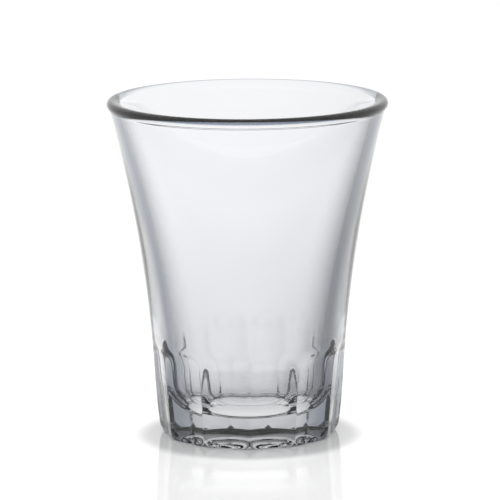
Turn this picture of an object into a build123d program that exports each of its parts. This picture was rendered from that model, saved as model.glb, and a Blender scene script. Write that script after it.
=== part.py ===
"""A small cortado glass: one piece of pressed, toughened glass with a flared wall and a fluted base.

Millimetres, +Z up. The origin is the centre of the foot, on the surface that the glass stands on.
A ridge between two flutes faces -Y.
"""

from build123d import *
import os
from math import cos, radians, sin

# Overall size
HEIGHT = 87.0
RIM_RADIUS = 36.0

# Foot: a narrow bearing ring round a shallow hollow, then a rounded heel that tapers in from the waist
BEARING_INNER_RADIUS = 21.0
BEARING_OUTER_RADIUS = 22.1
HOLLOW_DEPTH = 2.0
HEEL_RADIUS = 23.62
HEEL_HEIGHT = 3.0
WAIST_RADIUS = 24.3
WAIST_HEIGHT = 9.8

# Outer wall: it rises almost straight from the waist, then flares to the neck under the rim
WALL_RISE_POINT = (25.13, 40.55)
WALL_FLARE_POINT = (30.7, 67.19)
NECK_RADIUS = 35.0
NECK_HEIGHT = 83.8

# Rim: a round bead that stands proud of the wall, and a lip that falls to the inside
BEAD_RADIUS = 1.2
BEAD_START_ANGLE = -30.0
SHOULDER_LOW_PULL = 0.55
SHOULDER_HIGH_PULL = 0.75
LIP_TOP_PULL = 1.6
LIP_SIDE_PULL = 1.9

# Cavity: a flat floor, a round corner and a wall with little draft at the bottom
FLOOR_HEIGHT = 7.0
FLOOR_CORNER_RADIUS = 8.0
CAVITY_LOW_RADIUS = 18.3
CAVITY_DRAFT = 3.9
CAVITY_RISE_PULL = 22.9
CAVITY_FLARE_POINT = (26.4, 60.2)
CAVITY_TOP_RADIUS = 31.05
CAVITY_TOP_HEIGHT = 83.0

# Flutes: hollow grooves with straight sides and round tops, which run out through the heel
FLUTE_COUNT = 12
FLUTE_HOLLOW_RADIUS = 29.0
FLUTE_SPRING_HEIGHT = 19.8
FLUTE_SPRING_RADIUS = 23.6
FLUTE_DRAFT = 5.5
FLUTE_RUN_OUT_RADIUS = 8.7
FLUTE_CUT_HALF_WIDTH = 7.6
FLUTE_CUT_DEPTH = 3.2
FLUTE_CUT_LENGTH = 26.0
FLUTE_RUN_OUT_ANGLE = 75.0


def pull(point, tangent, length):
    """The point that lies a length along a direction, as the handle of a curve."""
    return Vector(point) + Vector(tangent).normalized() * length


def foot_lines(outer_wall):
    """Underside and heel, from the axis out and up to the foot of the wall."""
    hollow = Bezier(
        (0, HOLLOW_DEPTH),
        (BEARING_INNER_RADIUS / 3, HOLLOW_DEPTH),
        (BEARING_INNER_RADIUS * 2 / 3, HOLLOW_DEPTH),
        (BEARING_INNER_RADIUS, 0),
    )
    bearing = Line((BEARING_INNER_RADIUS, 0), (BEARING_OUTER_RADIUS, 0))
    taper = TangentArc(outer_wall @ 0, (HEEL_RADIUS, HEEL_HEIGHT), tangent=outer_wall % 0 * -1)
    heel = TangentArc(taper @ 1, (BEARING_OUTER_RADIUS, 0), tangent=taper % 1)
    return [hollow, bearing, heel, taper]


def outer_wall_line():
    """Outside of the wall, from the waist to the neck."""
    return Bezier(
        (WAIST_RADIUS, WAIST_HEIGHT),
        WALL_RISE_POINT,
        WALL_FLARE_POINT,
        (NECK_RADIUS, NECK_HEIGHT),
    )


def cavity_lines():
    """Inside of the glass, from the axis on the floor out to the corner and up the wall."""
    turn = 90 - CAVITY_DRAFT
    corner_start = (CAVITY_LOW_RADIUS - FLOOR_CORNER_RADIUS * sin(radians(turn)), FLOOR_HEIGHT)
    corner = JernArc(corner_start, (1, 0), FLOOR_CORNER_RADIUS, turn)
    floor = Line((0, FLOOR_HEIGHT), corner_start)
    wall = Bezier(
        corner @ 1,
        pull(corner @ 1, corner % 1, CAVITY_RISE_PULL),
        CAVITY_FLARE_POINT,
        (CAVITY_TOP_RADIUS, CAVITY_TOP_HEIGHT),
    )
    return [floor, corner, wall]


def rim_lines(outer_wall, inner_wall):
    """Shoulder, bead and lip, from the neck over the top to the cavity wall."""
    centre = (RIM_RADIUS - BEAD_RADIUS, HEIGHT - BEAD_RADIUS)
    bead = CenterArc(centre, BEAD_RADIUS, BEAD_START_ANGLE, 90 - BEAD_START_ANGLE)
    shoulder = Bezier(
        outer_wall @ 1,
        pull(outer_wall @ 1, outer_wall % 1, SHOULDER_LOW_PULL),
        pull(bead @ 0, bead % 0, -SHOULDER_HIGH_PULL),
        bead @ 0,
    )
    lip = Bezier(
        bead @ 1,
        pull(bead @ 1, bead % 1, LIP_TOP_PULL),
        pull(inner_wall @ 1, inner_wall % 1, LIP_SIDE_PULL),
        inner_wall @ 1,
    )
    return [shoulder, bead, lip]


def plain_glass():
    """The glass before its flutes are pressed: the half section turned about the axis."""
    outer_wall = outer_wall_line()
    cavity = cavity_lines()
    axis_line = Line((0, HOLLOW_DEPTH), (0, FLOOR_HEIGHT))
    lines = foot_lines(outer_wall) + [outer_wall] + rim_lines(outer_wall, cavity[-1]) + cavity + [axis_line]
    section = Plane.XZ * make_face([line.edge() for line in lines])
    return revolve(section, Axis.Z, 360)


def flute_cutter():
    """The tool that presses the flute facing +X: a straight run with a round run-out on top."""
    lean = radians(FLUTE_DRAFT)
    plane = Plane(
        origin=(FLUTE_SPRING_RADIUS, 0, FLUTE_SPRING_HEIGHT),
        x_dir=(cos(lean), 0, -sin(lean)),
        z_dir=(sin(lean), 0, cos(lean)),
    )
    sag = FLUTE_HOLLOW_RADIUS - (FLUTE_HOLLOW_RADIUS**2 - FLUTE_CUT_HALF_WIDTH**2) ** 0.5
    corners = [
        (sag, FLUTE_CUT_HALF_WIDTH),
        (FLUTE_CUT_DEPTH, FLUTE_CUT_HALF_WIDTH),
        (FLUTE_CUT_DEPTH, -FLUTE_CUT_HALF_WIDTH),
        (sag, -FLUTE_CUT_HALF_WIDTH),
    ]
    hollow = ThreePointArc(corners[-1], (0, 0), corners[0])
    section = plane * make_face([*Polyline(*corners).edges(), hollow])
    run = extrude(section, -FLUTE_CUT_LENGTH, dir=plane.z_dir)
    turning_axis = Axis(plane.from_local_coords((FLUTE_RUN_OUT_RADIUS, 0, 0)), plane.y_dir)
    run_out = revolve(section, turning_axis, FLUTE_RUN_OUT_ANGLE)
    return run + run_out


def glass_body():
    """The finished glass, with its flutes spaced evenly round the base."""
    cutter = flute_cutter()
    step = 360 / FLUTE_COUNT
    glass = plain_glass()
    for number in range(FLUTE_COUNT):
        glass -= Rot(0, 0, -90 + step * (number + 0.5)) * cutter
    return glass


os.makedirs("parts", exist_ok=True)
body = glass_body()
export_step(body, "parts/glass_body.step")
print(f"glass_body: {body.volume / 1000:.1f} ml of glass")
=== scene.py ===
"""Cortado glass: a small tumbler of pressed clear glass with a flared wall and a fluted base.

Metres, +Z up, origin at the centre of the foot. The outline of the glass is worked out from the sizes in
the sidebar, and a node tree turns it about the axis and presses the flutes into it.
"""

from math import atan2, cos, pi, radians, sin

import bpy
from bpy.props import FloatProperty, FloatVectorProperty, IntProperty, PointerProperty
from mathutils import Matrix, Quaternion, Vector


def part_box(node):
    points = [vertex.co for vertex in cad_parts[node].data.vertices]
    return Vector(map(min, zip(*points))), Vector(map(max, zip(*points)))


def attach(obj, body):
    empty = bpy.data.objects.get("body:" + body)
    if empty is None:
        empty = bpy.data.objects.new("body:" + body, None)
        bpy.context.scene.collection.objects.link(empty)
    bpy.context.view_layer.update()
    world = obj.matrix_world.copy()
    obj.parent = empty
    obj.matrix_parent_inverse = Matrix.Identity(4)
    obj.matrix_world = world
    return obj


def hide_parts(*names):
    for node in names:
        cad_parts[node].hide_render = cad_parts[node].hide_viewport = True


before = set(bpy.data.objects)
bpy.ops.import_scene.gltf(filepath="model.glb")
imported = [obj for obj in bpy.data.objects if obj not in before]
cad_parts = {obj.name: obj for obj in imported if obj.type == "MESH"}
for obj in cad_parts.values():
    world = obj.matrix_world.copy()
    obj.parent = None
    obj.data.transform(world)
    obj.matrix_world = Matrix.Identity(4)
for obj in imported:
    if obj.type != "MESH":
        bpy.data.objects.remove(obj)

bl_info = {
    "name": "Cortado Glass",
    "version": (1, 0, 0),
    "blender": (4, 5, 0),
    "location": "3D View > Sidebar > Glass",
    "description": "Presses a fluted coffee glass and lays out a plain white studio for it",
    "category": "Object",
}

MM = 0.001
BODY = "root"
CAD_NODE = "glass_body"
BOX_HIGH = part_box(CAD_NODE)[1]
PHOTO_SIDE = 500
SENSOR_SIDE = 36.0
CLIP_NEAR = 0.05
CLIP_FAR = 20
FLOOR_SIDES = 64
WHITE = (1, 1, 1, 1)

# How many straight runs stand for each stretch of the half section
BOWL_STEPS = 16
INNER_EDGE_STEPS = 3
BEARING_STEPS = 3
OUTER_EDGE_STEPS = 5
HEEL_STEPS = 16
TAPER_STEPS = 14
WALL_STEPS = 110
SHOULDER_STEPS = 9
BEAD_STEPS = 12
LIP_STEPS = 14
CAVITY_STEPS = 36
CORNER_STEPS = 22
FLOOR_STEPS = 6
SLOPE_STEPS = 10

# How steeply a flute leaves the glass over its run-out, and how near to each other points are joined
RUN_OUT_SLOPE = 4.0
MERGE_DISTANCE = 0.001 * MM


def length(name, description, size):
    """A size in metres, given here in millimetres."""
    return FloatProperty(name=name, description=description, default=size * MM, unit="LENGTH")


def angle(name, description, size):
    """An angle in radians, given here in degrees."""
    return FloatProperty(name=name, description=description, default=radians(size), unit="ROTATION")


def number(name, description, value):
    """A plain number."""
    return FloatProperty(name=name, description=description, default=value, min=0)


def share(name, description, value):
    """A number from 0 to 1."""
    return FloatProperty(name=name, description=description, default=value, min=0, max=1, subtype="FACTOR")


def colour(name, description, value):
    """A colour without alpha."""
    return FloatVectorProperty(
        name=name, description=description, default=value, size=3, min=0, max=1, subtype="COLOR"
    )


# Sizes and finishes


class GlassShape(bpy.types.PropertyGroup):
    """Sizes of the pressed glass."""

    bearing_inner: length("Bearing inner radius", "Where the hollow under the foot ends", 21.0)
    bearing_outer: length("Bearing outer radius", "Where the flat ring meets the heel", 22.1)
    heel_radius: length("Heel radius", "Outside radius at the top of the round heel", 23.62)
    heel_height: length("Heel height", "Top of the round heel", 3.0)
    waist_radius: length("Waist radius", "Outside radius where the taper of the foot starts", 24.3)
    waist_height: length("Waist height", "Height at which the taper of the foot starts", 9.8)
    hollow_depth: length("Hollow depth", "Depth of the hollow under the foot", 2.0)
    edge: length("Edge rounding", "How far each edge of the bearing ring is rounded", 0.35)
    rise_radius: length("Rise radius", "Radius of the handle that lifts the outer wall", 25.13)
    rise_height: length("Rise height", "Height of the handle that lifts the outer wall", 40.55)
    flare_radius: length("Flare radius", "Radius of the handle that flares the outer wall", 30.7)
    flare_height: length("Flare height", "Height of the handle that flares the outer wall", 67.19)
    neck_radius: length("Neck radius", "Outside radius just under the bead", 35.0)
    neck_height: length("Neck height", "Height at which the shoulder of the bead starts", 83.8)
    bead_radius: length("Bead radius", "Radius of the round bead on the rim", 1.2)
    bead_angle: angle("Bead start", "Where the bead starts, from level", -30)
    shoulder_low: length("Shoulder low pull", "Handle of the shoulder at the neck", 0.55)
    shoulder_high: length("Shoulder high pull", "Handle of the shoulder at the bead", 0.75)
    lip_top: length("Lip top pull", "Handle of the lip at the top of the bead", 1.8)
    lip_side: length("Lip side pull", "Handle of the lip at the cavity wall", 2.5)
    floor_height: length("Floor height", "Height of the cavity floor at its edge", 7.0)
    floor_step: length("Floor step", "How far the middle of the floor is pressed down", 0.3)
    step_width: length("Step width", "Width of the slope round that middle", 1.2)
    corner_radius: length("Corner radius", "Round corner between floor and wall", 8.0)
    cavity_radius: length("Cavity radius", "Inside radius at the top of the corner", 18.3)
    cavity_draft: angle("Cavity draft", "Lean of the cavity wall above the corner", 3.9)
    cavity_rise: length("Cavity rise pull", "Handle that lifts the cavity wall", 22.9)
    cavity_flare_radius: length("Cavity flare radius", "Radius of the handle that flares the cavity", 26.4)
    cavity_flare_height: length("Cavity flare height", "Height of the handle that flares the cavity", 60.2)
    cavity_top_radius: length("Cavity top radius", "Inside radius where the lip starts", 31.6)
    cavity_top_height: length("Cavity top height", "Height at which the lip starts", 83.6)


class FluteShape(bpy.types.PropertyGroup):
    """Sizes of the flutes round the base."""

    count: IntProperty(name="Flutes", description="Number of flutes round the base", default=12, min=3)
    hollow: length("Hollow radius", "Radius of a flute's hollow across its width", 29.0)
    spring_height: length("Spring height", "Height at which the round tops start", 19.8)
    spring_radius: length("Spring radius", "Distance of a flute's middle from the axis at that height", 23.6)
    draft: angle("Draft", "Lean of the flutes towards the foot", 5.5)
    run_out: length("Run-out radius", "Radius along which the flute runs out at its top", 8.7)
    arch_softness: length("Arch softness", "Rounding where a flute meets the wall", 0.95)
    ridge_softness: length("Ridge softness", "Rounding of the ridge between two flutes", 0.15)
    turn_steps: IntProperty(name="Turn steps", description="Faces round the glass", default=360, min=24)
    crowding: share("Ridge crowding", "How far the faces gather at the ridges", 0.75)


class GlassFinish(bpy.types.PropertyGroup):
    """Colour and surface of the glass, and the painted shade in that colour."""

    tint: colour("Tint", "Colour of light that has passed a wall", (0.98, 0.986, 1.0))
    # Painted shade: the tint of the glass is darker near the foot and fades to the plain tint with height.
    low_tint_with_painted_shade: colour("Low tint", "Colour of light that has passed a wall near the foot", (0.85, 0.856, 0.868))
    low_start: length("Low tint start", "Height at which the low tint starts to fade", 5)
    low_end: length("Low tint end", "Height at which the low tint has faded", 75)
    # Painted shade: the outside of the foot is darker, fading out with height.
    foot_painted_shade: colour("Foot tint", "Colour of light through the side of the foot", (0.56, 0.567, 0.59))
    foot_start: length("Foot tint start", "Height at which the foot tint starts to fade", 7)
    foot_end: length("Foot tint end", "Height at which the foot tint has faded", 13)

    # Painted shade: the outside of the glass is darker where it is turned away at a slant, which gives it
    # dark edges; the settings below say where it reaches.
    edge_painted_shade: colour("Edge tint", "Colour of light that enters the outside at a slant", (0.15, 0.17, 0.21))
    slant: share("Slant", "How far the foot is turned away where the edge tint is strongest", 0.4)
    slant_rise: number("Slant rise", "How fast that grows with the square of the height", 37)
    slant_before: share("Slant before", "How far the edge tint reaches to the middle of the glass", 0.31)
    slant_past: share("Slant past", "How far the edge tint reaches to the outline of the glass", 0.2)
    width_lean: share("Width lean", "How much wider the edge tint is on the right than in the middle", 0.12)
    spread: number("Spread", "How much further the edge tint reaches out at the heel and the rim", 2.5)
    heel_start: length("Spread heel", "Height below which it reaches furthest out", 12)
    heel_end: length("Spread heel end", "Height above which it reaches out no further", 24)
    spread_start: length("Spread start", "Height above which it reaches further out again", 50)
    spread_end: length("Spread end", "Height above which it reaches furthest out again", 80)

    # Painted shade: a dark band on the bead, also used for a dark painted outline along the rim where it is
    # seen edge on.
    bead_painted_shade: colour("Bead tint", "Colour of light through the side of the bead", (0.1, 0.135, 0.21))
    bead_low: length("Bead tint low", "Height at which the bead tint starts", 85.6)
    bead_high: length("Bead tint high", "Height at which the bead tint ends", 86.4)
    bead_blur: length("Bead tint blur", "Half width of both its edges", 0.2)
    # The rim line is a painted dark outline of the rim.
    line_start: length("Rim line start", "Height at which the outline of the rim starts to show", 86)
    line_full: length("Rim line full", "Height at which it shows in full", 86.4)
    line_slant: share("Rim line slant", "How far the rim is turned away where its outline starts", 0.5)
    line_edge: share("Rim line edge", "How far it is turned away where its outline is darkest", 0.85)

    # Painted shade: a dark ring over the round edge of the cavity floor.
    ring_painted_shade: colour("Ring tint", "Colour of light through the round edge of the floor", (0.4, 0.41, 0.44))
    ring_radius: length("Ring radius", "Radius of the round edge of the floor", 11.2)
    ring_width: length("Ring width", "Half width of that edge", 1.1)
    ring_start: length("Ring start", "Height at which the ring tint starts, over the bowl", 5)
    ring_full: length("Ring full", "Height at which it is full, under the floor", 6)

    middle: length("Middle radius", "Radius between the two sides of the wall at the foot", 21.3)
    middle_flare: number("Middle flare", "How fast that radius grows with the square of the height", 1.7)
    middle_blur: length("Middle blur", "Half width of the step from inside to outside", 0.4)
    ior: FloatProperty(name="Refraction", description="Index of refraction", default=1.517, min=1)
    wave_size: length("Wave size", "Distance between the faint waves that pressing leaves", 14.0)
    wave_depth: length("Wave depth", "Height of the faint waves", 0.01)


class StudioLight(bpy.types.PropertyGroup):
    """Light, floor and camera of the stage."""

    floor_radius: length("Floor radius", "Half width of the floor", 4000)
    floor_gap: length("Floor gap", "Air under the foot", 0.05)
    floor_colour: colour("Floor colour", "Colour of the floor", (0.9, 0.9, 0.9))
    floor_gloss: share("Floor gloss", "Share of the light that the floor mirrors", 0.3)
    floor_roughness: share("Floor roughness", "Roughness of that gloss", 0.1)
    floor_glow: share("Floor glow", "Light that brings the bare floor up to white", 0.1)
    # Painted light: a brighter floor near the glass.
    near_painted_light: share("Near glow", "More such light near the glass, which keeps light off the floor", 0.2)
    # Painted shadow round the foot, where the floor's glow is left out.
    shade_shift: length("Shade shift", "How far the shade at the foot is moved to the front", 4)
    shade_start: length("Shade start", "Radius of the darkest part of that shade", 25.3)
    shade_end: length("Shade end", "Radius at which that shade ends", 31)
    # What rays that come out of the glass see of the floor; the dip round the foot is a painted shadow.
    under_reach: length("Under reach", "Distance from the axis where the floor starts to darken", 11)
    foot_reach: length("Foot reach", "Distance from the axis where the floor is darkest", 22)
    near_reach: length("Near reach", "Distance from the axis where the floor round the foot ends", 34)
    far_reach: length("Far reach", "Distance from the axis where the floor is brightest", 280)
    under_level: share("Under level", "Brightness of the floor under the glass, seen through it", 0.95)
    ring_level: share("Ring level", "Brightness of the floor round the foot, seen through the glass", 0.76)
    near_level: share("Near level", "Brightness of the floor near the glass, seen through it", 0.95)
    far_level: share("Far level", "Brightness of the far floor, seen through the glass", 0.97)
    side_level: share("Side level", "Brightness at the sides, seen through the glass", 0.68)
    side_sky: share("Side sky level", "Brightness at the sides over the floor, seen through the glass", 0.7)
    side_power: number("Side power", "How soon the sides darken", 6.0)
    right_loss: share("Right loss", "How much darker the right side is", 0.22)

    band_level: share("Band level", "Brightness of the dark band over the floor", 0.015)
    horizon_level: share("Horizon level", "Brightness just over the floor", 0.94)
    horizon_end: share("Horizon end", "Climb of a ray at which that brightness has faded", 0.12)
    wall_level: share("Wall level", "Brightness over the dark band", 0.35)
    wall_start: share("Wall start", "Climb of a ray at which the dark band starts to end", 0.28)
    wall_full: share("Wall full", "Climb of a ray at which the dark band has ended", 0.38)
    box_level: share("Box level", "Brightness that the soft box adds", 0.5)
    box_start: share("Box start", "Climb of a ray at which the soft box starts", 0.62)
    box_full: share("Box full", "Climb of a ray at which the soft box is brightest", 0.72)
    box_loss: share("Box loss", "Share of its brightness that the soft box loses on top", 0.5)
    loss_start: share("Loss start", "Climb of a ray at which that loss starts", 0.85)
    loss_full: share("Loss full", "Climb of a ray at which that loss is full", 0.92)

    camera_distance: length("Camera distance", "Level distance from the axis to the camera", 971.1)
    camera_height: length("Camera height", "Height of the camera above the floor", 233.4)
    aim_side: length("Aim to the side", "Where the camera aims, right of the axis", 0.42)
    aim_height: length("Aim height", "Height at which the camera aims", 47.5)
    camera_roll: angle("Camera roll", "Turn of the camera about its view", -0.36)
    focal_pixels: number("Focal length", "In pixels of the square picture", 3839.0)


# Node trees written as expressions


class Term:
    """A socket that Python's operators work on: each one adds the Math node that it stands for."""

    def __init__(self, nodes, socket):
        self.nodes = nodes
        self.socket = socket

    def __add__(self, other):
        return self.nodes.math("ADD", self, other)

    def __radd__(self, other):
        return self.nodes.math("ADD", other, self)

    def __sub__(self, other):
        return self.nodes.math("SUBTRACT", self, other)

    def __rsub__(self, other):
        return self.nodes.math("SUBTRACT", other, self)

    def __mul__(self, other):
        return self.nodes.math("MULTIPLY", self, other)

    def __rmul__(self, other):
        return self.nodes.math("MULTIPLY", other, self)

    def __truediv__(self, other):
        return self.nodes.math("DIVIDE", self, other)

    def __rtruediv__(self, other):
        return self.nodes.math("DIVIDE", other, self)

    def __mod__(self, other):
        return self.nodes.math("FLOORED_MODULO", self, other)

    def __rmod__(self, other):
        return self.nodes.math("FLOORED_MODULO", other, self)

    def __abs__(self):
        return self.nodes.math("ABSOLUTE", self)


class Nodes:
    """Adds nodes to one tree."""

    def __init__(self, tree):
        self.tree = tree

    def add(self, kind, settings=None, values=None):
        """A node of a type, its settings made first, then the values or links of its sockets."""
        node = self.tree.nodes.new(kind)
        for name, value in (settings or {}).items():
            setattr(node, name, value)
        for name, value in (values or {}).items():
            self.feed(node.inputs[name], value)
        return node

    def feed(self, socket, value):
        """Links a term to a socket, or sets the socket's own value."""
        if isinstance(value, Term):
            value = value.socket
        if isinstance(value, bpy.types.NodeSocket):
            self.tree.links.new(value, socket)
        else:
            socket.default_value = value

    def term(self, kind, output, settings=None, values=None):
        """One output of a new node, as a term."""
        return Term(self, self.add(kind, settings, values).outputs[output])

    def math(self, operation, *values):
        """A Math node."""
        return self.term("ShaderNodeMath", 0, {"operation": operation}, dict(enumerate(values)))

    def split(self, vector):
        """The three parts of a vector, as terms."""
        node = self.add("ShaderNodeSeparateXYZ", None, {0: vector})
        return [Term(self, output) for output in node.outputs]

    def from_axis(self, x, y):
        """Distance from the axis, never quite nothing, because other values are divided by it."""
        return self.math("MAXIMUM", self.math("SQRT", x * x + y * y), MM)

    def smooth_step(self, value, low, high):
        """0 below low, 1 above high, and a soft rise between them."""
        settings = {"interpolation_type": "SMOOTHSTEP"}
        values = {"Value": value, "From Min": low, "From Max": high}
        return self.term("ShaderNodeMapRange", "Result", settings, values)

    def turned_away(self, values=None):
        """0 where a surface faces the ray that meets it, 1 where it is seen edge on."""
        return self.term("ShaderNodeLayerWeight", "Facing", None, {"Blend": 0.5, **(values or {})})

    def mix(self, factor, first, second):
        """A colour between two."""
        return self.term("ShaderNodeMix", 2, {"data_type": "RGBA"}, {0: factor, 6: first, 7: second})

    def mix_shaders(self, factor, first, second):
        """A shader between two."""
        return self.add("ShaderNodeMixShader", None, {0: factor, 1: first.outputs[0], 2: second.outputs[0]})


def emptied(owner):
    """The nodes of a new material or world, with nothing in them yet."""
    owner.use_nodes = True
    owner.node_tree.nodes.clear()
    return Nodes(owner.node_tree)


def put_in_scene(name, data):
    """A new object with this data, in the scene."""
    made = bpy.data.objects.new(name, data)
    bpy.context.scene.collection.objects.link(made)
    return made


# Outline of the glass


def bezier(points, steps):
    """Points along a curve with these handles, without its start."""
    made = []
    for step in range(1, steps + 1):
        level = [Vector(point) for point in points]
        while len(level) > 1:
            level = [a.lerp(b, step / steps) for a, b in zip(level, level[1:])]
        made.append(level[0])
    return made


def arc(centre, radius, start, end, steps):
    """Points along an arc, without its start."""
    turns = [start + (end - start) * step / steps for step in range(1, steps + 1)]
    return [centre + radius * direction(turn) for turn in turns]


def direction(turn):
    """The unit vector at an angle in the half section."""
    return Vector((cos(turn), sin(turn)))


def tangent_arc(start, way, end, steps):
    """Points along the arc that leaves its start in a direction, without its start, and the way it ends."""
    chord = end - start
    first = atan2(way.y, way.x)
    swing = atan2(way.cross(chord), way.dot(chord))
    parts = [step / steps for step in range(1, steps + 1)]
    wide = chord.length / sin(swing)
    points = [start + wide * sin(swing * part) * direction(first + swing * part) for part in parts]
    return points, direction(first + 2 * swing)


def foot_outline(shape):
    """Underside, heel and taper, from the axis to the waist."""
    bowl_end = 1 - shape.edge / shape.bearing_inner
    shares = [bowl_end * step / BOWL_STEPS for step in range(BOWL_STEPS + 1)]
    underside = [Vector((shape.bearing_inner * part, shape.hollow_depth * (1 - part**3))) for part in shares]
    inner_corner = Vector((shape.bearing_inner, 0))
    ring_start = inner_corner + Vector((shape.edge, 0))
    underside += bezier([underside[-1], inner_corner, ring_start], INNER_EDGE_STEPS)

    waist = Vector((shape.waist_radius, shape.waist_height))
    down = (waist - Vector((shape.rise_radius, shape.rise_height))).normalized()
    taper, way = tangent_arc(waist, down, Vector((shape.heel_radius, shape.heel_height)), TAPER_STEPS)
    outer_corner = Vector((shape.bearing_outer, 0))
    heel, _ = tangent_arc(taper[-1], way, outer_corner, HEEL_STEPS)
    heel = [point for point in heel if (point - outer_corner).length > shape.edge]
    ring_end = outer_corner - Vector((shape.edge, 0))
    bearing = bezier([ring_start, ring_end], BEARING_STEPS)
    outer_edge = bezier([ring_end, outer_corner, heel[-1]], OUTER_EDGE_STEPS)
    return underside + bearing + outer_edge + heel[-2::-1] + taper[::-1] + [waist]


def wall_outline(shape, low):
    """Outside of the wall, from the waist to the neck."""
    rise = (shape.rise_radius, shape.rise_height)
    flare = (shape.flare_radius, shape.flare_height)
    return bezier([low, rise, flare, (shape.neck_radius, shape.neck_height)], WALL_STEPS)


def cavity_outline(shape):
    """Inside of the glass, from the axis on the floor to the start of the lip."""
    turn = pi / 2 - shape.cavity_draft
    radius = shape.corner_radius
    centre = Vector((shape.cavity_radius - radius * sin(turn), shape.floor_height + radius))
    corner_start = centre - Vector((0, radius))
    middle = Vector((0, shape.floor_height - shape.floor_step))
    step_start = corner_start - Vector((shape.step_width, shape.floor_step))
    step_middle = Vector((0.5 * shape.step_width, 0))
    slope = [step_start, step_start + step_middle, corner_start - step_middle, corner_start]
    floor = [middle] + bezier([middle, step_start], FLOOR_STEPS) + bezier(slope, SLOPE_STEPS)
    corner = arc(centre, radius, -pi / 2, turn - pi / 2, CORNER_STEPS)
    rise = corner[-1] + shape.cavity_rise * direction(turn)
    flare = (shape.cavity_flare_radius, shape.cavity_flare_height)
    top = (shape.cavity_top_radius, shape.cavity_top_height)
    return floor + corner + bezier([corner[-1], rise, flare, top], CAVITY_STEPS)


def rim_outline(shape, wall, cavity):
    """Shoulder, bead and lip, from the neck over the top to the cavity wall."""
    centre = Vector((BOX_HIGH.x - shape.bead_radius, BOX_HIGH.z - shape.bead_radius))
    bead_start = centre + shape.bead_radius * direction(shape.bead_angle)
    neck_way = (wall[-1] - wall[-2]).normalized()
    bead_way = direction(shape.bead_angle + pi / 2)
    low_handle = wall[-1] + shape.shoulder_low * neck_way
    high_handle = bead_start - shape.shoulder_high * bead_way
    shoulder = bezier([wall[-1], low_handle, high_handle, bead_start], SHOULDER_STEPS)
    bead = arc(centre, shape.bead_radius, shape.bead_angle, pi / 2, BEAD_STEPS)
    lip_way = (cavity[-1] - cavity[-2]).normalized()
    top_handle = bead[-1] - Vector((shape.lip_top, 0))
    side_handle = cavity[-1] + shape.lip_side * lip_way
    lip = bezier([bead[-1], top_handle, side_handle, cavity[-1]], LIP_STEPS)
    return shoulder + bead + lip[:-1]


def whole_outline(shape):
    """The half section, from the axis under the foot round to the axis on the floor."""
    foot = foot_outline(shape)
    wall = wall_outline(shape, foot[-1])
    cavity = cavity_outline(shape)
    return foot + wall + rim_outline(shape, wall, cavity) + cavity[::-1]


# The pressing: outline in, glass out


def press_tree(material):
    """A node tree that turns an outline about the axis and presses the flutes into it."""
    tree = bpy.data.node_groups.new("Press glass", "GeometryNodeTree")
    sockets = tree.interface.new_socket
    sockets("Outline", in_out="INPUT", socket_type="NodeSocketGeometry")
    for name in ("Flutes", "Turn steps"):
        sockets(name, in_out="INPUT", socket_type="NodeSocketInt")
    for name in (
        "Hollow radius", "Spring height", "Spring radius", "Draft slope",
        "Run-out radius", "Arch softness", "Ridge softness", "Ridge crowding",
    ):
        sockets(name, in_out="INPUT", socket_type="NodeSocketFloat")
    sockets("Glass", in_out="OUTPUT", socket_type="NodeSocketGeometry")

    nodes = Nodes(tree)
    size = {socket.name: Term(nodes, socket) for socket in nodes.add("NodeGroupInput").outputs}

    # A grid with a row for each point of the outline and a column for each step round the axis
    outline = {"Geometry": size["Outline"]}
    points = nodes.term("GeometryNodeAttributeDomainSize", "Point Count", None, outline)
    columns = size["Turn steps"] + 1.0
    grid = nodes.add("GeometryNodeMeshGrid", None, {"Vertices X": points, "Vertices Y": columns})
    index = nodes.term("GeometryNodeInputIndex", 0)
    row = nodes.math("FLOOR", (index + 0.5) / columns)
    column = index - row * columns
    place = nodes.term("GeometryNodeInputPosition", 0)
    sample = nodes.add(
        "GeometryNodeSampleIndex", {"data_type": "FLOAT_VECTOR", "domain": "POINT"},
        {**outline, "Value": place, "Index": row},
    )
    radius, _, height = nodes.split(sample.outputs["Value"])

    # The turn from the first ridge, gathered at every ridge
    even = column / size["Turn steps"] * (2 * pi)
    turn = even - nodes.math("SINE", even * size["Flutes"]) * size["Ridge crowding"] / size["Flutes"]

    # How far the middle of a flute is from the axis at this height
    above = height - size["Spring height"]
    reach = size["Run-out radius"]
    rising = nodes.math("MINIMUM", nodes.math("MAXIMUM", above, 0.0), reach)
    past = nodes.math("MAXIMUM", above - reach, 0.0)
    shift = reach - nodes.math("SQRT", reach * reach - rising * rising) + RUN_OUT_SLOPE * past
    straight = size["Spring radius"] + nodes.math("MINIMUM", above, 0.0) * size["Draft slope"]
    centre = straight + shift + size["Hollow radius"]

    def flute(away):
        """Radius at which a ray turned away from a flute's middle meets its hollow."""
        side = centre * nodes.math("SINE", away)
        half = nodes.math("SQRT", size["Hollow radius"] * size["Hollow radius"] - side * side)
        return centre * nodes.math("COSINE", away) - half

    step = (2 * pi) / size["Flutes"]
    near = abs(turn % step - step / 2)
    hollows = nodes.math("SMOOTH_MIN", flute(near), flute(step - near), size["Ridge softness"])
    pressed = nodes.math("SMOOTH_MIN", radius, hollows, size["Arch softness"])

    facing = turn - pi / 2
    across = {"X": pressed * nodes.math("COSINE", facing), "Y": pressed * nodes.math("SINE", facing)}
    target = nodes.add("ShaderNodeCombineXYZ", None, {**across, "Z": height})

    # Each node takes the mesh that the one before it has made
    made = grid
    for kind, values in (
        ("GeometryNodeSetPosition", {"Position": target.outputs[0]}),
        ("GeometryNodeMergeByDistance", {"Distance": MERGE_DISTANCE}),
        ("GeometryNodeFlipFaces", {}),
        ("GeometryNodeSetShadeSmooth", {}),
        ("GeometryNodeRealizeInstances", {}),
        ("GeometryNodeSetMaterial", {"Material": material}),
    ):
        made = nodes.add(kind, None, {0: made.outputs[0], **values})
    nodes.add("NodeGroupOutput", None, {"Glass": made.outputs[0]})
    return tree


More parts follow.
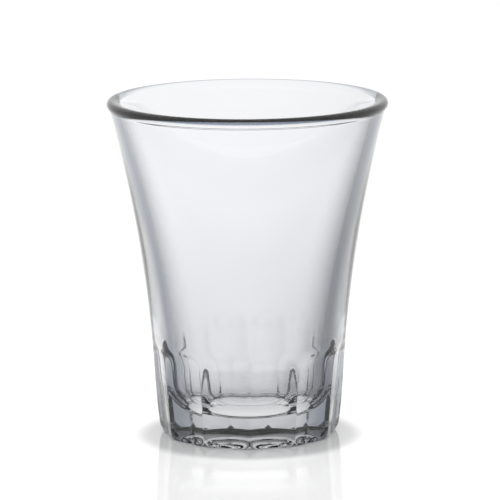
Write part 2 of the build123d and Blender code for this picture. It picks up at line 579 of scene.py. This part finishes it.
def node_result(name, start, tree, values):
    """A plain mesh object: what a node tree makes of a start mesh with these inputs."""
    carrier = put_in_scene(name + "_start", start)
    modifier = carrier.modifiers.new("Nodes", "NODES")
    modifier.node_group = tree
    sockets = {item.name: item.identifier for item in tree.interface.items_tree if item.in_out == "INPUT"}
    for socket, value in values.items():
        modifier[sockets[socket]] = value
    evaluated = carrier.evaluated_get(bpy.context.evaluated_depsgraph_get())
    mesh = bpy.data.meshes.new_from_object(evaluated)
    mesh.name = name
    bpy.data.objects.remove(carrier)
    return put_in_scene(name, mesh)


def press_glass(shape, flutes, material):
    """The glass as one closed mesh."""
    outline = whole_outline(shape)
    start = bpy.data.meshes.new("outline")
    edges = [(place, place + 1) for place in range(len(outline) - 1)]
    start.from_pydata([(point.x, 0, point.y) for point in outline], edges, [])
    values = {
        "Flutes": flutes.count,
        "Turn steps": flutes.turn_steps,
        "Hollow radius": flutes.hollow,
        "Spring height": flutes.spring_height,
        "Spring radius": flutes.spring_radius,
        "Draft slope": sin(flutes.draft) / cos(flutes.draft),
        "Run-out radius": flutes.run_out,
        "Arch softness": flutes.arch_softness,
        "Ridge softness": flutes.ridge_softness,
        "Ridge crowding": flutes.crowding,
    }
    return node_result("pressed_glass", start, press_tree(material), values)


# The glass, whose tints stand for the dark walls of a studio that the picture doesn't show


def painted_edge_shade_share(nodes, finish, x, y, height):
    """How much of the painted edge shade the outside takes: most where the wall is turned away as Slant says.
    """
    reach = nodes.from_axis(x, y)
    level = nodes.add("ShaderNodeCombineXYZ", None, {"X": x / reach, "Y": y / reach, "Z": 0.0})
    turned = nodes.turned_away({"Normal": level.outputs[0]})
    centre = finish.slant + finish.slant_rise * height * height
    wide = 1.0 + finish.width_lean * (x / reach)
    heel = 1.0 - nodes.smooth_step(height, finish.heel_start, finish.heel_end)
    rim = nodes.smooth_step(height, finish.spread_start, finish.spread_end)
    past = finish.slant_past * wide * (1.0 + finish.spread * (heel + rim))
    rising = nodes.smooth_step(turned, centre - finish.slant_before * wide, centre)
    falling = nodes.smooth_step(turned, centre, centre + past)
    return rising * (1.0 - falling)


def tint_and_painted_shade_by_place(nodes, finish, place):
    """Colour that light takes where it passes the surface, with painted shade mixed in at the foot, the
    edges, the floor ring, the bead and the rim outline.
    """
    x, y, height = nodes.split(place)
    reach = nodes.from_axis(x, y)
    past_middle = reach - finish.middle - finish.middle_flare * height * height
    outside = nodes.smooth_step(past_middle, -finish.middle_blur, finish.middle_blur)

    # Where painted shade goes: the outside of the foot, the edges, the ring over the cavity floor, the bead
    # and the outline of the rim.
    foot = outside * (1.0 - nodes.smooth_step(height, finish.foot_start, finish.foot_end))
    edge = outside * painted_edge_shade_share(nodes, finish, x, y, height)
    over_bowl = nodes.smooth_step(height, finish.ring_start, finish.ring_full)
    off_ring = nodes.smooth_step(abs(reach - finish.ring_radius), 0.0, finish.ring_width)
    ring = over_bowl * (1.0 - off_ring) * (1.0 - outside)
    blur = finish.bead_blur
    over = nodes.smooth_step(height, finish.bead_low - blur, finish.bead_low + blur)
    under = 1.0 - nodes.smooth_step(height, finish.bead_high - blur, finish.bead_high + blur)
    bead = outside * over * under
    grazing = nodes.smooth_step(nodes.turned_away(), finish.line_slant, finish.line_edge)
    line = nodes.smooth_step(height, finish.line_start, finish.line_full) * grazing

    high = nodes.smooth_step(height, finish.low_start, finish.low_end)
    tint = nodes.mix(high, (*finish.low_tint_with_painted_shade, 1), (*finish.tint, 1))
    # Each darker colour mixed in here is painted shade.
    for cover, darker in (
        (foot, finish.foot_painted_shade),
        (edge, finish.edge_painted_shade),
        (ring, finish.ring_painted_shade),
        (bead, finish.bead_painted_shade),
        (line, finish.bead_painted_shade),
    ):
        tint = nodes.mix(cover, tint, (*darker, 1))
    return tint


def clear_glass(finish):
    """Clear glass, tinted by place with painted shade mixed in, with the slow waves that pressing leaves."""
    material = bpy.data.materials.new("clear_glass")
    nodes = emptied(material)
    place = nodes.term("ShaderNodeTexCoord", "Object")
    waves = nodes.term(
        "ShaderNodeTexNoise", "Fac", {"noise_dimensions": "3D"},
        {"Vector": place, "Scale": 1 / finish.wave_size, "Detail": 1.0, "Roughness": 0.4},
    )
    relief = {"Height": waves, "Distance": finish.wave_depth, "Strength": 1.0}
    bump = nodes.add("ShaderNodeBump", None, relief)
    shader = nodes.add("ShaderNodeBsdfPrincipled", None, {
        "Base Color": tint_and_painted_shade_by_place(nodes, finish, place),
        "Roughness": 0.0,
        "IOR": finish.ior,
        "Transmission Weight": 1.0,
        "Normal": bump.outputs["Normal"],
    })
    nodes.add("ShaderNodeOutputMaterial", None, {"Surface": shader.outputs[0]})
    return material


# Stage


def side_fall(nodes, x, y, side_level, studio):
    """1 straight behind the glass and in front of it, less towards the sides, and least on the right."""
    reach = nodes.from_axis(x, y)
    straight = 0.5 + 0.5 * (abs(y) / reach)
    right = 1.0 - studio.right_loss * (x / reach)
    fall = side_level + (1.0 - side_level) * nodes.math("POWER", straight, studio.side_power)
    return fall * right


def floor_material(studio):
    """A white floor that keeps the shadow of the glass, deepened by painted shadow round the foot, with
    painted light near the glass and a faint gloss.

    Rays that come out of the glass see it darker round the foot, a painted shadow, and towards the sides.
    """
    material = bpy.data.materials.new("white_floor")
    nodes = emptied(material)
    x, y, _ = nodes.split(nodes.term("ShaderNodeTexCoord", "Object"))
    reach = nodes.from_axis(x, y)
    ring = nodes.smooth_step(reach, studio.under_reach, studio.foot_reach)
    near = nodes.smooth_step(reach, studio.foot_reach, studio.near_reach)
    far = nodes.smooth_step(reach, studio.near_reach, studio.far_reach)

    # Painted shadow: seen through the glass, the floor is darker round the foot.
    level = studio.under_level - (studio.under_level - studio.ring_level) * ring
    level = level + (studio.near_level - studio.ring_level) * near
    level = level + (studio.far_level - studio.near_level) * far
    through = level * (1.0 - near + near * side_fall(nodes, x, y, studio.side_level, studio))
    seen = nodes.add("ShaderNodeEmission", None, {"Color": through, "Strength": 1.0})

    # Painted shadow: the glow that brings the floor up to white is left out round the foot. Painted light:
    # more glow near the glass. The diffuse and glossy parts keep the real shadow.
    forward = y + studio.shade_shift
    shade = nodes.smooth_step(nodes.from_axis(x, forward), studio.shade_start, studio.shade_end)
    extra = shade * (studio.floor_glow + studio.near_painted_light * (1.0 - far))
    glow = nodes.add("ShaderNodeEmission", None, {"Color": extra, "Strength": 1.0})
    diffuse = nodes.add("ShaderNodeBsdfDiffuse", None, {"Color": (*studio.floor_colour, 1)})
    gloss = nodes.add("ShaderNodeBsdfGlossy", None, {"Color": WHITE, "Roughness": studio.floor_roughness})
    lit = nodes.mix_shaders(studio.floor_gloss, diffuse, gloss)
    white = nodes.add("ShaderNodeAddShader", None, {0: lit.outputs[0], 1: glow.outputs[0]})

    leaving = nodes.term("ShaderNodeLightPath", "Is Transmission Ray")
    both = nodes.mix_shaders(leaving, white, seen)
    nodes.add("ShaderNodeOutputMaterial", None, {"Surface": both.outputs[0]})
    return material


def lay_floor(studio):
    """A round floor, a hair under the foot so that light can pass between the two."""
    mesh = bpy.data.meshes.new("floor")
    turns = [2 * pi * side / FLOOR_SIDES for side in range(FLOOR_SIDES)]
    radius = studio.floor_radius
    corners = [(radius * cos(turn), radius * sin(turn), -studio.floor_gap) for turn in turns]
    mesh.from_pydata(corners, [], [list(range(FLOOR_SIDES))])
    mesh.materials.append(floor_material(studio))
    put_in_scene("floor", mesh)


def light_world(studio):
    """White all round, but rays that come out of the glass see a dark band over the floor and a soft box."""
    world = bpy.data.worlds.new("studio")
    bpy.context.scene.world = world
    nodes = emptied(world)
    x, y, climb = nodes.split(nodes.term("ShaderNodeTexCoord", "Generated"))
    horizon = studio.horizon_level * (1.0 - nodes.smooth_step(climb, 0.0, studio.horizon_end))
    wall = studio.wall_level * nodes.smooth_step(climb, studio.wall_start, studio.wall_full)
    loss = studio.box_loss * nodes.smooth_step(climb, studio.loss_start, studio.loss_full)
    box = studio.box_level * (nodes.smooth_step(climb, studio.box_start, studio.box_full) - loss)
    through = (studio.band_level + horizon + wall + box) * side_fall(nodes, x, y, studio.side_sky, studio)
    leaving = nodes.term("ShaderNodeLightPath", "Is Transmission Ray")
    level = 1.0 + leaving * (through - 1.0)
    background = nodes.add("ShaderNodeBackground", None, {"Color": level, "Strength": 1.0})
    nodes.add("ShaderNodeOutputWorld", None, {"Surface": background.outputs[0]})


def place_camera(studio):
    """The camera, at the viewing angle of the picture."""
    data = bpy.data.cameras.new("camera")
    data.sensor_width = SENSOR_SIDE
    data.lens = studio.focal_pixels * SENSOR_SIDE / PHOTO_SIDE
    data.clip_start = CLIP_NEAR
    data.clip_end = CLIP_FAR
    camera = put_in_scene("camera", data)
    camera.location = (0, -studio.camera_distance, studio.camera_height)
    aim = Vector((studio.aim_side, 0, studio.aim_height)) - camera.location
    camera.rotation_mode = "QUATERNION"
    roll = Quaternion((0, 0, 1), studio.camera_roll)
    camera.rotation_quaternion = aim.to_track_quat("-Z", "Y") @ roll
    bpy.context.scene.camera = camera


# Operators and panel


class PressGlass(bpy.types.Operator):
    """Press the glass from its outline and put it in the place of the plain solid"""

    bl_idname = "cortado.press_glass"
    bl_label = "Press Glass"

    def execute(self, context):
        scene = context.scene
        glass = press_glass(scene.glass_shape, scene.flute_shape, clear_glass(scene.glass_finish))
        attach(glass, BODY)
        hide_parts(CAD_NODE)
        return {"FINISHED"}


class SetStage(bpy.types.Operator):
    """Lay the floor and set the light and the camera"""

    bl_idname = "cortado.set_stage"
    bl_label = "Set Stage"

    def execute(self, context):
        studio = context.scene.studio_light
        context.scene.view_settings.view_transform = "Standard"
        lay_floor(studio)
        light_world(studio)
        place_camera(studio)
        return {"FINISHED"}


class GlassPanel(bpy.types.Panel):
    """Sizes, finishes and steps of the glass"""

    bl_idname = "VIEW3D_PT_cortado_glass"
    bl_label = "Cortado Glass"
    bl_space_type = "VIEW_3D"
    bl_region_type = "UI"
    bl_category = "Glass"

    def draw(self, context):
        for operator in (PressGlass, SetStage):
            self.layout.operator(operator.bl_idname)
        for name, group in GROUPS.items():
            box = self.layout.box()
            for key in group.__annotations__:
                box.prop(getattr(context.scene, name), key)


GROUPS = {
    "glass_shape": GlassShape,
    "flute_shape": FluteShape,
    "glass_finish": GlassFinish,
    "studio_light": StudioLight,
}
CLASSES = (*GROUPS.values(), PressGlass, SetStage, GlassPanel)


def register():
    for each in CLASSES:
        bpy.utils.register_class(each)
    for name, group in GROUPS.items():
        setattr(bpy.types.Scene, name, PointerProperty(type=group))


def unregister():
    for name in GROUPS:
        delattr(bpy.types.Scene, name)
    for each in reversed(CLASSES):
        bpy.utils.unregister_class(each)


def main():
    """Makes the glass and its stage."""
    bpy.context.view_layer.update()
    register()
    bpy.ops.cortado.press_glass()
    bpy.ops.cortado.set_stage()


if __name__ == "__main__":
    main()
